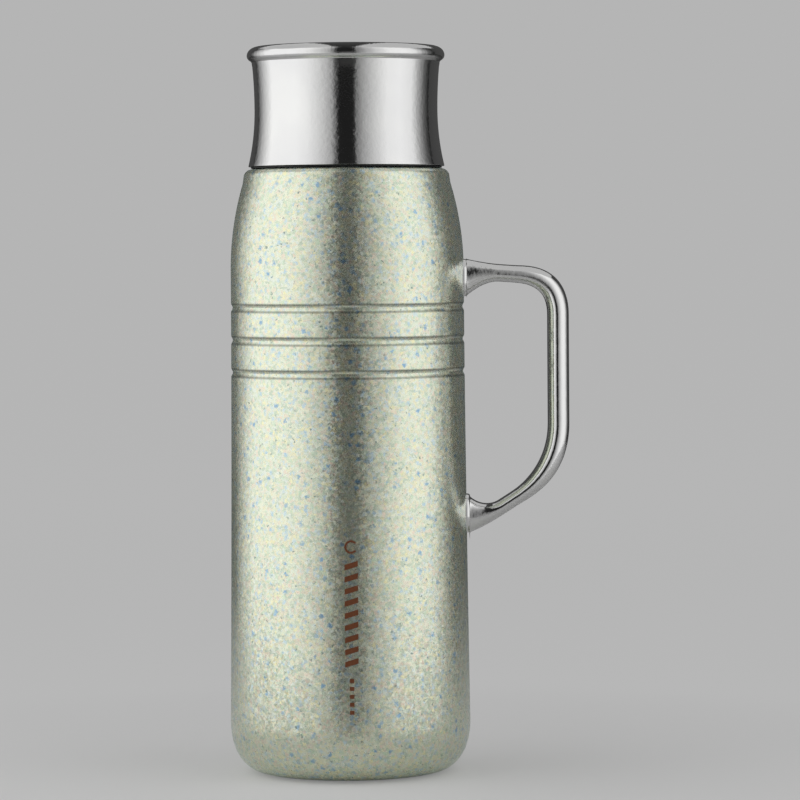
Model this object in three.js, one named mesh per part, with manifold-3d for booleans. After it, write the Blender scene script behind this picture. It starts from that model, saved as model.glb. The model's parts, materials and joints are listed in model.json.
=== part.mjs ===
// Vacuum flask with a side handle, a screw lid and a pour-through stopper.
// Millimetres, +Z up. The origin is the centre of the underside of the foot pad, on the body's axis.
// The handle points along +X, and the stopper pours towards -X.
import * as THREE from 'three';
import { mergeVertices } from 'three/addons/utils/BufferGeometryUtils.js';
import Module from 'manifold-3d';

const wasm = await Module();
wasm.setup();

// ---- driving dimensions ----
const GAP = 0.3; // clearance between pieces that touch
const SHEET = 0.6; // steel sheet of the walls, bottoms and lid
const FINE = 32; // facets round the outer steel pieces
const MEDIUM = 28; // facets round the neck, the liner and the lid's inside
const SMALL = 20; // facets round the stopper's pieces

const FOOT_R = 34.5; // where the outer wall's rounded foot meets its underside
const FOOT_Z = 0.6; // the outer wall stands this far above the floor, on the pad
const CORNER_Z = 22; // height where the rounded foot ends
const CORNER_POWER = 2.25; // a superellipse: 2 is an ellipse, more is squarer
const BODY_TOP_R = 48.15; // where the shoulder starts
const BODY_LOW_R = 49.7; // the body swells slightly towards its foot
const BODY_SWELL_POWER = 1.6;
const SHOULDER_Z = 208;
const SHOULDER_ARC = 124; // radius of the shoulder's long curve
const SHOULDER_EDGE = 3.5; // radius of the rounded edge at the neck
const SHELL_TOP = 249.6;
const GROOVE_PITCH = 13.35;
const GROOVE_MIDDLE_Z = 179.3;
const GROOVE_HALF = 1.6; // half the width of a rolled groove
const GROOVE_DEPTH = 0.7;

const MOUTH_R = 29.8; // inside of the liner's neck
const MOUTH_TOP = 268;
const SEAT_R = 27.8; // rolled bead inside the neck, which the stopper seals on
const SEAT_Z = 248.6;
const LINER_R = 43.5; // outside of the inner wall
const LINER_NECK_Z = 218; // weld between the liner's neck and the inner wall
const LINER_SEAM_Z = 30; // weld between the inner wall and its bottom
const LINER_BOTTOM_Z = 11.5;

const SHELL_NECK_R = MOUTH_R + SHEET + GAP + SHEET; // outside of the outer wall's neck
const COLLAR_R = SHELL_NECK_R + GAP; // inside of the threaded collar
const COLLAR_WALL = 1.4;
const THREAD_BEAD = 0.9; // radius of the round lid thread
const THREAD_PITCH = 5;
const THREAD_TURNS = 1.4;

const LID_Z = 250.8; // lower edge of the lid
const WAIST_R = 37.75; // narrowest place of the lid
const WAIST_Z = 274;
const WAIST_LOW_ARC = 100; // radius of the flare below the waist
const WAIST_HIGH_ARC = 200; // and above it
const LID_TOP = 300;
const RIM_CREST_R = 36.2; // circle of the rolled rim's highest points
const RIM_R = 40.8; // widest circle of the rim
const RIM_Z = 296.3;
const RIM_BEAD = 2.3; // radius of the rim's underside
const RIM_CURL = 1.8; // radius of the rim's inner curl
const LID_LINER_R = 36.6; // outside of the lid's plastic liner
const LID_LINER_WALL = 1.6;
const LID_CEILING_Z = 290.4;

const STOPPER_FLOOR_Z = 238;
const STOPPER_R = 28.2; // threaded part of the stopper
const STOPPER_NOSE_R = 26.4; // part that passes the seat
const STOPPER_WALL = 1.5;
const FLANGE_R = 31.2; // flange that stands over the mouth
const FLANGE_TOP = 270.8;
const CHANNEL_R = 9.2; // inside of the pour channel
const VALVE_HOLE_R = 6.2;
const COVER_TOP = 277;
const BUTTON_R = 12;
const BUTTON_TOP = 280.4;
const STEM_R = 2;
const SPRING_FOOT_Z = 260.3;

const GRIP_X = 87; // centreline of the handle's upright grip
const UPPER_CORNER_Z = 204.5; // where the grip's line meets the upper arm's line
const UPPER_SLOPE = THREE.MathUtils.degToRad(4.2); // the upper arm drops a little towards the grip
const UPPER_BEND = 15.6; // how far the upper bend reaches back from its corner
const LOWER_CORNER_Z = 124.6; // where the grip's line meets the lower arm's line
const LOWER_SLOPE = THREE.MathUtils.degToRad(32.5); // slope of the lower arm
const LOWER_BEND = 19.8;
const GRIP_HALF = 4.5; // half thickness of the grip, seen from the side
const UPPER_ARM_HALF = 3.6; // and of the arms
const LOWER_ARM_HALF = 3.1;
const BAR_HALF_WIDTH = 5.6; // half width of the bar, seen from behind
const FLARE_LENGTH = 14.5; // stretch in which the bar widens into a foot
const FLARE_POWER = 1.77;
const FOOT_HALF_WIDTH = 6.6;
const FOOT_PLATE = 1.2; // thickness of the saddle plates
// The middle and half height of the bar's feet on the body, the body's radius there, and the same of the plates.
const upperFoot = { z: 204.2, half: 8.2, bodyR: 48.2, plateZ: 204.4, plateHalf: 7.7 };
const lowerFoot = { z: 106.7, half: 8.3, bodyR: 48.9, plateZ: 106.9, plateHalf: 8.1 };

// ---- materials ----
const finish = (color, roughness, metalness) => new THREE.MeshStandardMaterial({ color, roughness, metalness });
const speckledCoat = finish('#b7c2a4', 0.25, 0.4);
const polishedSteel = finish('#c9cacb', 0.15, 1);
const satinSteel = finish('#b4b5b6', 0.35, 1);
const copper = finish('#c07a50', 0.3, 1);
const getterGrey = finish('#5d5f63', 0.7, 0.6);
const sealGlass = finish('#3d4146', 0.2, 0);
const blackPlastic = finish('#1b1c1e', 0.45, 0);
const greyPlastic = finish('#3a3d40', 0.5, 0);
const paleFoam = finish('#e6e2d6', 0.9, 0);
const silicone = finish('#c9ccca', 0.6, 0);
const darkSilicone = finish('#26282a', 0.75, 0);

// ---- helpers ----
const flask = new THREE.Group();
const lid = new THREE.Group();
const stopper = new THREE.Group();
const button = new THREE.Group();
flask.add(lid, stopper);
stopper.add(button);

function addPart(group, name, geometry, material) {
  const mesh = new THREE.Mesh(geometry, material);
  mesh.name = name;
  group.add(mesh);
}

// Points on an arc round (r, z), as [r, z] pairs; the angles are in degrees, 0 along +r and 90 along +z.
function arc(r, z, halfWidth, halfHeight, fromDeg, toDeg, steps) {
  return Array.from({ length: steps + 1 }, (_, i) => {
    const angle = THREE.MathUtils.degToRad(fromDeg + ((toDeg - fromDeg) * i) / steps);
    return [r + halfWidth * Math.cos(angle), z + halfHeight * Math.sin(angle)];
  });
}

// The outline moved sideways: a positive distance moves it to the left of its direction.
function offset(outline, distance) {
  const leftOf = (a, b) => {
    const length = Math.hypot(b[0] - a[0], b[1] - a[1]);
    return [-(b[1] - a[1]) / length, (b[0] - a[0]) / length];
  };
  return outline.map((point, i) => {
    const before = i > 0 ? leftOf(outline[i - 1], point) : null;
    const after = i < outline.length - 1 ? leftOf(point, outline[i + 1]) : null;
    const [a, b] = [before ?? after, after ?? before];
    const reach = distance / (1 + a[0] * b[0] + a[1] * b[1]);
    const r = point[0] === 0 ? 0 : point[0] + reach * (a[0] + b[0]);
    return [r, point[1] + reach * (a[1] + b[1])];
  });
}

// A sheet-metal section: the outline, and the same outline one sheet thickness to its left.
const sheetSection = (outline) => [...outline, ...offset(outline, SHEET).reverse()];

// A ring of rectangular section.
const ringSection = (innerR, outerR, lowZ, highZ) => [
  [innerR, lowZ],
  [outerR, lowZ],
  [outerR, highZ],
  [innerR, highZ],
];

// The solid of revolution of a section round Z. It ends on the axis, or it closes on itself.
function lathe(section, facets) {
  const points = section.map(([r, z]) => new THREE.Vector2(r, z));
  if (THREE.ShapeUtils.isClockWise(points)) points.reverse();
  if (points[0].x > 0) points.push(points[0].clone());
  return new THREE.LatheGeometry(points, facets).rotateX(Math.PI / 2);
}

function solid(geometry) {
  const bare = geometry.clone();
  bare.deleteAttribute('normal');
  bare.deleteAttribute('uv');
  const merged = mergeVertices(bare, 1e-4);
  const corners = merged.index.array;
  const kept = [];
  for (let i = 0; i < corners.length; i += 3) {
    const [a, b, c] = corners.slice(i, i + 3);
    if (a !== b && b !== c && c !== a) kept.push(a, b, c);
  }
  return new wasm.Manifold(
    new wasm.Mesh({
      numProp: 3,
      vertProperties: new Float32Array(merged.attributes.position.array),
      triVerts: new Uint32Array(kept),
    }),
  );
}

function surfaceOf(body) {
  const mesh = body.getMesh();
  const geometry = new THREE.BufferGeometry();
  geometry.setAttribute('position', new THREE.BufferAttribute(mesh.vertProperties, 3));
  geometry.setIndex(new THREE.BufferAttribute(mesh.triVerts, 1));
  geometry.computeVertexNormals();
  return geometry;
}

class Helix extends THREE.Curve {
  constructor(radius, lowZ, pitch, turns) {
    super();
    Object.assign(this, { radius, lowZ, pitch, turns });
  }

  getPoint(t, target = new THREE.Vector3()) {
    const angle = 2 * Math.PI * this.turns * t;
    return target.set(
      this.radius * Math.cos(angle),
      this.radius * Math.sin(angle),
      this.lowZ + this.pitch * this.turns * t,
    );
  }
}

// A round wire wound on a helix: a thread's bead or a spring.
function coil(radius, wireR, lowZ, pitch, turns, stepsPerTurn, sides) {
  const wire = new THREE.Shape();
  wire.absarc(0, 0, wireR, 0, 2 * Math.PI, false);
  return new THREE.ExtrudeGeometry(wire, {
    steps: Math.round(stepsPerTurn * turns),
    curveSegments: sides,
    extrudePath: new Helix(radius, lowZ, pitch, turns),
    bevelEnabled: false,
  });
}

// A closed skin through a row of loops that all have the same number of points.
function loft(loops) {
  const count = loops[0].length;
  const index = [];
  for (let i = 0; i < loops.length - 1; i += 1) {
    for (let j = 0; j < count; j += 1) {
      const [a, b] = [i * count + j, i * count + ((j + 1) % count)];
      index.push(a, b, b + count, a, b + count, a + count);
    }
  }
  const last = (loops.length - 1) * count;
  for (let j = 1; j < count - 1; j += 1) index.push(0, j + 1, j, last, last + j, last + j + 1);
  const geometry = new THREE.BufferGeometry().setFromPoints(loops.flat());
  geometry.setIndex(index);
  return geometry;
}

// ---- outer wall ----
const bodyRadius = (z) => {
  const below = (SHOULDER_Z - z) / (SHOULDER_Z - CORNER_Z);
  return BODY_TOP_R + (BODY_LOW_R - BODY_TOP_R) * below ** BODY_SWELL_POWER;
};

function roundedFoot(steps) {
  return Array.from({ length: steps + 1 }, (_, i) => {
    const angle = (Math.PI / 2) * (1 - i / steps);
    return [
      FOOT_R + (BODY_LOW_R - FOOT_R) * Math.max(Math.cos(angle), 0) ** (2 / CORNER_POWER),
      CORNER_Z - (CORNER_Z - FOOT_Z) * Math.sin(angle) ** (2 / CORNER_POWER),
    ];
  });
}

function groove(z) {
  const r = bodyRadius(z);
  return [
    [r, z - GROOVE_HALF],
    [r - GROOVE_DEPTH, z - GROOVE_HALF / 3],
    [r - GROOVE_DEPTH, z + GROOVE_HALF / 3],
    [r, z + GROOVE_HALF],
  ];
}

const shoulderTilt = 17.5; // degrees from upright where the shoulder meets its rounded edge
const shoulder = arc(BODY_TOP_R - SHOULDER_ARC, SHOULDER_Z, SHOULDER_ARC, SHOULDER_ARC, 0, shoulderTilt, 5);
const shoulderEnd = shoulder.at(-1);
const edgeR = shoulderEnd[0] - SHOULDER_EDGE * Math.cos(THREE.MathUtils.degToRad(shoulderTilt));
const outerOutline = [
  ...roundedFoot(7),
  ...[60, 110].map((z) => [bodyRadius(z), z]),
  ...[-1, 0, 1].flatMap((i) => groove(GROOVE_MIDDLE_Z + i * GROOVE_PITCH)),
  ...shoulder.slice(0, -1),
  ...arc(edgeR, SHELL_TOP - SHOULDER_EDGE, SHOULDER_EDGE, SHOULDER_EDGE, shoulderTilt, 90, 3),
  [SHELL_NECK_R, SHELL_TOP],
  [SHELL_NECK_R, MOUTH_TOP - SHEET - GAP],
];
addPart(flask, 'outer_shell', lathe(sheetSection(outerOutline), FINE), speckledCoat);

// ---- bottoms, vacuum seal and base ----
const bottomR = FOOT_R - GAP; // the outer bottom's flange stands in the opening of the rounded foot
const bottomOutline = [
  [1.2, 5.6], // evacuation hole
  [bottomR - 1.6, 5.6],
  [bottomR - SHEET, 4.8],
  [bottomR - SHEET, FOOT_Z + SHEET],
];
addPart(flask, 'shell_bottom', lathe(sheetSection(bottomOutline), FINE), satinSteel);

const sealBead = [
  [0, 4],
  [2.2, 4.3],
  [3.2, 5.3],
  [0, 5.3],
];
addPart(flask, 'vacuum_seal_bead', lathe(sealBead, 12), sealGlass);

const capR = bottomR - SHEET - GAP;
const capOutline = [
  [0, 1.5],
  [capR - 1.2, 1.5],
  [capR, 2.3],
  [capR, 4.4],
];
addPart(flask, 'base_cap', lathe(sheetSection(capOutline), FINE), satinSteel);

const padR = capR - 1.8;
const padSection = [
  [0, 0],
  [padR - 0.4, 0],
  [padR, 0.4],
  [padR, 1.2],
  [0, 1.2],
];
addPart(flask, 'foot_pad', lathe(padSection, FINE), darkSilicone);

// ---- inner wall, its bottom and what is in the vacuum ----
const neckInside = [
  [MOUTH_R, MOUTH_TOP],
  [MOUTH_R, SEAT_Z + 2],
  [SEAT_R, SEAT_Z + 0.8],
  [SEAT_R, SEAT_Z - 0.8],
  [MOUTH_R, SEAT_Z - 2],
  ...arc(MOUTH_R + 2.7, LINER_NECK_Z, LINER_R - SHEET - MOUTH_R - 2.7, 26, 78, 0, 5),
];
const neckOutside = offset(neckInside, SHEET).reverse();
neckOutside.pop();
const neckSection = [
  ...neckInside,
  ...neckOutside,
  [MOUTH_R + SHEET, MOUTH_TOP - SHEET],
  [SHELL_NECK_R, MOUTH_TOP - SHEET],
  [SHELL_NECK_R, MOUTH_TOP],
];
const neckThread = coil(MOUTH_R - 0.05, 0.55, 255.5, THREAD_PITCH, 1.2, MEDIUM, 3);
const neckBody = solid(lathe(neckSection, MEDIUM)).add(solid(neckThread));
addPart(flask, 'liner_neck', surfaceOf(neckBody), satinSteel);

const linerWall = ringSection(LINER_R - SHEET, LINER_R, LINER_SEAM_Z, LINER_NECK_Z - GAP);
addPart(flask, 'inner_liner', lathe(linerWall, MEDIUM), satinSteel);

const linerCorner = 16; // radius of the inner bottom's corner
const linerBottomOutline = [
  [0, LINER_BOTTOM_Z + 0.8],
  ...arc(LINER_R - linerCorner, LINER_BOTTOM_Z + linerCorner, linerCorner, linerCorner, -90, 0, 5),
  [LINER_R, LINER_SEAM_Z - GAP],
];
addPart(flask, 'liner_bottom', lathe(sheetSection(linerBottomOutline), MEDIUM), satinSteel);

const foilR = LINER_R + 0.4;
addPart(flask, 'copper_foil', lathe(ringSection(foilR, foilR + 0.1, 34, 205), MEDIUM), copper);

const clipSection = [
  [0, 10.7],
  [6.6, 10.7],
  [6.6, 8],
  [7, 8],
  [7, 11.1],
  [0, 11.1],
];
const getterX = 18; // the getter sits to one side of the evacuation hole
addPart(flask, 'getter_clip', lathe(clipSection, 12).translate(getterX, 0, 0), satinSteel);
const pellet = new THREE.CylinderGeometry(6.2, 6.2, 2.4, 12).rotateX(Math.PI / 2);
addPart(flask, 'getter_pellet', pellet.translate(getterX, 0, 9.1), getterGrey);

// ---- neck collar ----
const collarFlangeR = 39.4;
const collarSection = [
  [COLLAR_R, SHELL_TOP + GAP],
  [collarFlangeR, SHELL_TOP + GAP],
  [collarFlangeR, LID_Z - GAP],
  [COLLAR_R + COLLAR_WALL, LID_Z - GAP],
  [COLLAR_R + COLLAR_WALL, MOUTH_TOP - 1.6],
  [COLLAR_R, MOUTH_TOP - 1.6],
];
const collarThread = coil(COLLAR_R + COLLAR_WALL + 0.1, THREAD_BEAD, 255, THREAD_PITCH, THREAD_TURNS, MEDIUM, 3);
const collarBody = solid(lathe(collarSection, MEDIUM)).add(solid(collarThread));
addPart(flask, 'neck_collar', surfaceOf(collarBody), blackPlastic);

// ---- handle ----
// Heights of the arms' straight lines at a distance x from the axis.
const upperArmZ = (x) => UPPER_CORNER_Z + (GRIP_X - x) * Math.tan(UPPER_SLOPE);
const lowerArmZ = (x) => LOWER_CORNER_Z - (GRIP_X - x) * Math.tan(LOWER_SLOPE);
const barEndX = 45; // the bar is drawn into the body and cut off at the saddle plates

function handleCentreline() {
  const path = new THREE.CurvePath();
  const point = (x, z) => new THREE.Vector3(x, 0, z);
  const bendAt = (cornerZ, before, after, reach) => {
    const corner = point(GRIP_X, cornerZ);
    const from = corner.clone().addScaledVector(before, -reach);
    const to = corner.clone().addScaledVector(after, reach);
    return { from, corner, to };
  };
  const down = new THREE.Vector3(0, 0, -1);
  const outward = new THREE.Vector3(Math.cos(UPPER_SLOPE), 0, -Math.sin(UPPER_SLOPE));
  const inward = new THREE.Vector3(-Math.cos(LOWER_SLOPE), 0, -Math.sin(LOWER_SLOPE));
  const top = bendAt(UPPER_CORNER_Z, outward, down, UPPER_BEND);
  const bottom = bendAt(LOWER_CORNER_Z, down, inward, LOWER_BEND);
  path.add(new THREE.LineCurve3(point(barEndX, upperArmZ(barEndX)), top.from));
  path.add(new THREE.QuadraticBezierCurve3(top.from, top.corner, top.to));
  path.add(new THREE.LineCurve3(top.to, bottom.from));
  path.add(new THREE.QuadraticBezierCurve3(bottom.from, bottom.corner, bottom.to));
  path.add(new THREE.LineCurve3(bottom.to, point(barEndX, lowerArmZ(barEndX))));
  return path;
}

function handleBar(steps, sides) {
  const path = handleCentreline();
  const middle = (UPPER_CORNER_Z + LOWER_CORNER_Z) / 2;
  const loops = [];
  for (let i = 0; i <= steps; i += 1) {
    const centre = path.getPointAt(i / steps);
    const along = path.getTangentAt(i / steps);
    const isUpper = centre.z > middle;
    const foot = isUpper ? upperFoot : lowerFoot;
    const armZ = isUpper ? upperArmZ : lowerArmZ;
    const armHalf = isUpper ? UPPER_ARM_HALF : LOWER_ARM_HALF;
    const nearness = THREE.MathUtils.clamp(1 - (centre.x - foot.bodyR) / FLARE_LENGTH, 0, 1);
    const flare = nearness ** FLARE_POWER;
    const grip = THREE.MathUtils.smoothstep(centre.x, 68, GRIP_X);
    const half = THREE.MathUtils.lerp(THREE.MathUtils.lerp(armHalf, GRIP_HALF, grip), foot.half, flare);
    const halfWidth = THREE.MathUtils.lerp(BAR_HALF_WIDTH, FOOT_HALF_WIDTH, flare);
    centre.z += (foot.z - armZ(foot.bodyR)) * flare;
    // The sections stand square to the bar, and turn upright towards the feet.
    const across = new THREE.Vector3(along.z, 0, -along.x);
    across.lerp(new THREE.Vector3(0, 0, isUpper ? -1 : 1), nearness).normalize();
    loops.push(
      Array.from({ length: sides }, (_, j) => {
        const angle = (2 * Math.PI * j) / sides;
        const place = centre.clone().addScaledVector(across, half * Math.cos(angle));
        return place.setY(halfWidth * Math.sin(angle));
      }),
    );
  }
  return loft(loops);
}

// The saddle plate lies on the body; the bar stands on the plate.
function saddle({ plateZ, plateHalf, bodyR }) {
  const shape = new THREE.Shape();
  shape.absellipse(0, 0, plateHalf, FOOT_HALF_WIDTH + 0.5, 0, 2 * Math.PI);
  const block = new THREE.ExtrudeGeometry(shape, { depth: 20, curveSegments: 8, bevelEnabled: false });
  block.rotateY(-Math.PI / 2).translate(60, 0, plateZ);
  const skin = ringSection(bodyR + GAP, bodyR + GAP + FOOT_PLATE, plateZ - 12, plateZ + 12);
  return surfaceOf(solid(block).intersect(solid(lathe(skin, 2 * FINE))));
}

const plateSpace = (foot) => {
  const r = foot.bodyR + FOOT_PLATE + 2 * GAP;
  return solid(new THREE.CylinderGeometry(r, r, 40, 2 * FINE).rotateX(Math.PI / 2).translate(0, 0, foot.z));
};
addPart(flask, 'upper_handle_foot', saddle(upperFoot), polishedSteel);
addPart(flask, 'lower_handle_foot', saddle(lowerFoot), polishedSteel);
const bar = solid(handleBar(39, 10)).subtract(plateSpace(upperFoot)).subtract(plateSpace(lowerFoot));
addPart(flask, 'handle_bar', surfaceOf(bar), polishedSteel);

// ---- lid ----
const lowFlareDeg = THREE.MathUtils.radToDeg(Math.asin((WAIST_Z - LID_Z) / WAIST_LOW_ARC));
const highFlareDeg = THREE.MathUtils.radToDeg(Math.asin((291.5 - WAIST_Z) / WAIST_HIGH_ARC));
const lidOutline = [
  ...arc(WAIST_R + WAIST_LOW_ARC, WAIST_Z, WAIST_LOW_ARC, WAIST_LOW_ARC, 180 + lowFlareDeg, 180, 4),
  ...arc(WAIST_R + WAIST_HIGH_ARC, WAIST_Z, WAIST_HIGH_ARC, WAIST_HIGH_ARC, 180, 180 - highFlareDeg, 2).slice(1),
  ...arc(RIM_R - RIM_BEAD, RIM_Z, RIM_BEAD, RIM_BEAD, -78, 0, 3),
  ...arc(RIM_CREST_R, RIM_Z, RIM_R - RIM_CREST_R, LID_TOP - RIM_Z, 0, 90, 4).slice(1),
  ...arc(RIM_CREST_R, LID_TOP - RIM_CURL, RIM_CURL, RIM_CURL, 90, 180, 2).slice(1),
  [RIM_CREST_R - RIM_CURL, 297],
];
addPart(lid, 'lid_shell', lathe(sheetSection(lidOutline), FINE), polishedSteel);

const plateR = RIM_CREST_R - RIM_CURL - GAP;
const plateOutline = [
  [0, 297.6],
  [plateR / 2, 297.3],
  [plateR, 296.5],
];
addPart(lid, 'lid_top_plate', lathe(sheetSection(plateOutline), FINE), polishedSteel);

const foamSection = [
  [0, 292.6],
  [35.6, 292.6],
  [35.6, 296.1],
  [0, 297.1],
];
addPart(lid, 'lid_insulation', lathe(foamSection, SMALL), paleFoam);

const lidLinerSection = [
  [0, LID_CEILING_Z],
  [LID_LINER_R - LID_LINER_WALL, LID_CEILING_Z],
  [LID_LINER_R - LID_LINER_WALL, LID_Z],
  [39, LID_Z],
  [38.6, LID_Z + 1.5],
  [LID_LINER_R, LID_Z + 2],
  [LID_LINER_R, 292.3],
  [0, 292.3],
];
const lidThreadR = LID_LINER_R - LID_LINER_WALL + 0.4;
const lidThread = coil(lidThreadR, THREAD_BEAD, 256.5, THREAD_PITCH, THREAD_TURNS, MEDIUM, 3);
const lidLinerBody = solid(lathe(lidLinerSection, MEDIUM)).add(solid(lidThread));
addPart(lid, 'lid_liner', surfaceOf(lidLinerBody), blackPlastic);

// ---- stopper ----
const innerWallR = STOPPER_R - STOPPER_WALL;
const innerNoseR = STOPPER_NOSE_R - STOPPER_WALL;
const channelTop = 268.5;
const stopperSection = [
  [VALVE_HOLE_R, STOPPER_FLOOR_Z],
  [STOPPER_NOSE_R, STOPPER_FLOOR_Z],
  [STOPPER_NOSE_R, 252.8],
  [STOPPER_R, 252.8],
  [STOPPER_R, MOUTH_TOP + GAP],
  [FLANGE_R, MOUTH_TOP + GAP],
  [FLANGE_R, FLANGE_TOP],
  [innerWallR, FLANGE_TOP],
  [innerWallR, 254.4],
  [innerNoseR, 252.8],
  [innerNoseR, 239.8],
  [CHANNEL_R + 1.4, 239.8],
  [CHANNEL_R + 1.4, channelTop],
  [CHANNEL_R, channelTop],
  [CHANNEL_R, 239.6],
  [VALVE_HOLE_R, 239.6],
];
const hub = ringSection(STEM_R + GAP, 4.2, SPRING_FOOT_Z - 3.3, SPRING_FOOT_Z - GAP);
let stopperBody = solid(lathe(stopperSection, SMALL)).add(solid(lathe(hub, SMALL)));
for (let i = 0; i < 3; i += 1) {
  const spoke = new THREE.BoxGeometry(6.2, 1.6, 3).translate(6.6, 0, SPRING_FOOT_Z - 1.8);
  stopperBody = stopperBody.add(solid(spoke.rotateZ(((i + 0.5) * 2 * Math.PI) / 3)));
}
stopperBody = stopperBody.add(solid(coil(STOPPER_R, 0.6, 257.5, THREAD_PITCH, 1.2, MEDIUM, 3)));
addPart(stopper, 'stopper_body', surfaceOf(stopperBody), greyPlastic);

const stopperFoam = [
  [CHANNEL_R + 1.7, 240.1],
  [innerNoseR - GAP, 240.1],
  [innerNoseR - GAP, 252.9],
  [innerWallR - GAP, 254.7],
  [innerWallR - GAP, channelTop],
  [CHANNEL_R + 1.7, channelTop],
];
addPart(stopper, 'stopper_insulation', lathe(stopperFoam, SMALL), paleFoam);

const deckTop = 270.4;
const deck = ringSection(CHANNEL_R + 0.2, innerWallR - GAP, channelTop + GAP, deckTop);
addPart(stopper, 'stopper_deck', lathe(deck, SMALL), greyPlastic);
const mainSeal = ringSection(STOPPER_NOSE_R + GAP, STOPPER_R + 0.5, SEAT_Z + 2.3, 252.5);
addPart(stopper, 'stopper_main_seal', lathe(mainSeal, MEDIUM), silicone);

// The cover has finger scallops all round, and a slot that pours away from the handle.
const coverR = 30.4;
const scallops = 24;
const grip = new THREE.Shape(
  Array.from({ length: 4 * scallops }, (_, i) => {
    const angle = (2 * Math.PI * i) / (4 * scallops);
    const r = coverR + 0.5 * Math.cos(scallops * angle);
    return new THREE.Vector2(r * Math.cos(angle), r * Math.sin(angle));
  }),
);
const coverLow = FLANGE_TOP + GAP;
const coverPlateZ = COVER_TOP - 1.6;
const guideR = BUTTON_R + GAP;
const coverHollow = [
  [guideR + 1.5, coverLow - 1],
  [coverR - 2.6, coverLow - 1],
  [coverR - 2.6, coverPlateZ],
  [guideR + 1.5, coverPlateZ],
];
const buttonHole = [
  [0, coverLow - 1],
  [guideR, coverLow - 1],
  [guideR, COVER_TOP + 1],
  [0, COVER_TOP + 1],
];
const pourSlot = new THREE.BoxGeometry(8, 14, 4.5).translate(-29, 0, coverLow + 1.25);
const coverBlock = new THREE.ExtrudeGeometry(grip, { depth: COVER_TOP - coverLow, bevelEnabled: false });
const coverBody = solid(coverBlock.translate(0, 0, coverLow))
  .subtract(solid(lathe(coverHollow, SMALL)))
  .subtract(solid(lathe(buttonHole, SMALL)))
  .subtract(solid(pourSlot));
addPart(stopper, 'stopper_cover', surfaceOf(coverBody), blackPlastic);

const springTurns = 6;
const springTop = 277.9;
const springWire = 0.45;
const springPitch = (springTop - SPRING_FOOT_Z - 2 * springWire) / springTurns;
const spring = coil(5.4, springWire, SPRING_FOOT_Z + springWire, springPitch, springTurns, 10, 3);
addPart(stopper, 'button_spring', spring, satinSteel);

// ---- button and valve, which move together ----
const sealLow = 276; // groove for the button's seal
const buttonSection = [
  [0, BUTTON_TOP - 0.8],
  [8, BUTTON_TOP - 0.4],
  [BUTTON_R - 1, BUTTON_TOP],
  [BUTTON_R, BUTTON_TOP - 0.9],
  [BUTTON_R, sealLow + 1.2],
  [BUTTON_R - 0.8, sealLow + 1.2],
  [BUTTON_R - 0.8, sealLow],
  [BUTTON_R, sealLow],
  [BUTTON_R, 275],
  [BUTTON_R - 1.8, 275],
  [BUTTON_R - 1.8, 278.3],
  [3.6, 278.3],
  [3.6, 272],
  [STEM_R + GAP, 272],
  [STEM_R + GAP, 277],
  [0, 277],
];
addPart(button, 'pour_button', lathe(buttonSection, SMALL), greyPlastic);
const buttonSeal = ringSection(BUTTON_R - 0.6, BUTTON_R + 0.1, sealLow + 0.2, sealLow + 1);
addPart(button, 'button_seal', lathe(buttonSeal, SMALL), silicone);

const stemLow = 234.3;
const stemTop = 276.7;
const stem = new THREE.CylinderGeometry(STEM_R, STEM_R, stemTop - stemLow, 12).rotateX(Math.PI / 2);
addPart(button, 'valve_stem', stem.translate(0, 0, (stemLow + stemTop) / 2), satinSteel);

const headTop = 236;
const headSection = [
  [0, 232.4],
  [5, 232.8],
  [8.4, 234.4],
  [8.4, headTop],
  [STEM_R + GAP, headTop],
  [STEM_R + GAP, stemLow - GAP],
  [0, stemLow - GAP],
];
addPart(button, 'valve_head', lathe(headSection, SMALL), greyPlastic);
const valveSeal = ringSection(VALVE_HOLE_R + 0.2, 8.3, headTop + GAP, STOPPER_FLOOR_Z - GAP);
addPart(button, 'valve_seal', lathe(valveSeal, SMALL), silicone);

export default flask;
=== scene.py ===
import json
import math

import bmesh
import bpy
from mathutils import Matrix, Vector


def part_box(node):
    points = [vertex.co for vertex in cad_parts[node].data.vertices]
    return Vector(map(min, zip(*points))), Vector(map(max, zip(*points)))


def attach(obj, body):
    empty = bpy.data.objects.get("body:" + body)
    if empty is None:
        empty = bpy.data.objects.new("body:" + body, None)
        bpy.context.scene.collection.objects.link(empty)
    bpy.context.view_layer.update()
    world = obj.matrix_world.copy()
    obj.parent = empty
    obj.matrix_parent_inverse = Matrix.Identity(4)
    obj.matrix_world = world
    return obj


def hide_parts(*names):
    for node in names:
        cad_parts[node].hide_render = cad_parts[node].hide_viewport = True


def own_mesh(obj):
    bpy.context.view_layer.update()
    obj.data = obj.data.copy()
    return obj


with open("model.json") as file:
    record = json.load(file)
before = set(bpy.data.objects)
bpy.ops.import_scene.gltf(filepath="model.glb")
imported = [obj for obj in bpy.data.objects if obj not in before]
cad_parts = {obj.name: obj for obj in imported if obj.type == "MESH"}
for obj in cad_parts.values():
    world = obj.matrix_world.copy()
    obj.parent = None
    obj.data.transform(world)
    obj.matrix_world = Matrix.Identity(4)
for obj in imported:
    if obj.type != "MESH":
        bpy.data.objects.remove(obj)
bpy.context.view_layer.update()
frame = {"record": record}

MM = 0.001


def low(node, axis="z"):
    """A CAD node's lowest coordinate along an axis, in millimetres."""
    return getattr(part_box(node)[0], axis) / MM


def high(node, axis="z"):
    """A CAD node's highest coordinate along an axis, in millimetres."""
    return getattr(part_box(node)[1], axis) / MM


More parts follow.
